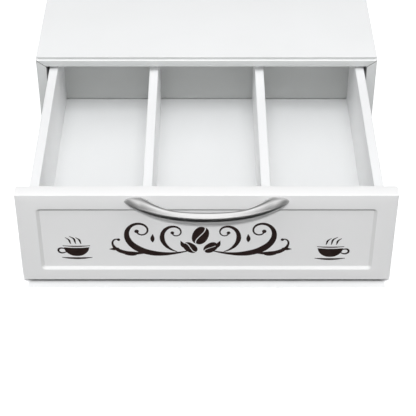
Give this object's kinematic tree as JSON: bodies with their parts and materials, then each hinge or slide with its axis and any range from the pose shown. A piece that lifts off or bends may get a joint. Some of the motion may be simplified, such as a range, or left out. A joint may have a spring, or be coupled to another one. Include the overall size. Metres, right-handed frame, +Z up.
{
  "type": "coffee pod drawer",
  "caption": "Low white mitred box with a pull-out drawer parted into long pockets by fixed dividers, a sunk front panel and a satin metal bow handle.",
  "frame": {"origin": "middle of the overall footprint at table height, with the drawer pulled out as it stands at rest", "axes": "+Z up from the feet, +Y from the drawer's front towards the rear of the box, +X to the right as seen from the front"},
  "size_m": [0.31, 0.467, 0.095],
  "materials": {
    "white_lacquer": "satin white lacquer on medium density fibreboard",
    "white_thin_board": "white faced thin fibreboard",
    "beech": "raw beech",
    "rubber_pad": "matt grey pad",
    "satin_nickel": "satin brushed nickel",
    "zinc_steel": "bright zinc plate"
  },
  "bodies": {
    "cabinet": {"cabinet_top": "white_lacquer", "cabinet_bottom": "white_lacquer", "cabinet_left": "white_lacquer", "cabinet_right": "white_lacquer", "cabinet_back": "white_thin_board", "edge_band_top": "white_lacquer", "edge_band_bottom": "white_lacquer", "edge_band_left": "white_lacquer", "edge_band_right": "white_lacquer", "mitre_spline_top_left": "beech", "mitre_spline_top_right": "beech", "mitre_spline_bottom_left": "beech", "mitre_spline_bottom_right": "beech", "back_panel_pins": "zinc_steel", "foot_front_left": "rubber_pad", "foot_front_right": "rubber_pad", "foot_rear_left": "rubber_pad", "foot_rear_right": "rubber_pad"},
    "drawer": {"drawer_front": "white_lacquer", "drawer_left_side": "white_lacquer", "drawer_right_side": "white_lacquer", "drawer_back": "white_lacquer", "drawer_bottom": "white_thin_board", "divider_left": "white_lacquer", "divider_right": "white_lacquer", "front_dowels": "beech", "rear_dowels": "beech", "bow_handle": "satin_nickel", "handle_screws": "zinc_steel"}
  },
  "joints": [
    {"name": "drawer_slide", "type": "slide", "parent": "cabinet", "child": "drawer", "axis": [0, -1, 0], "range_m": [-0.1816, 0.03]}
  ]
}
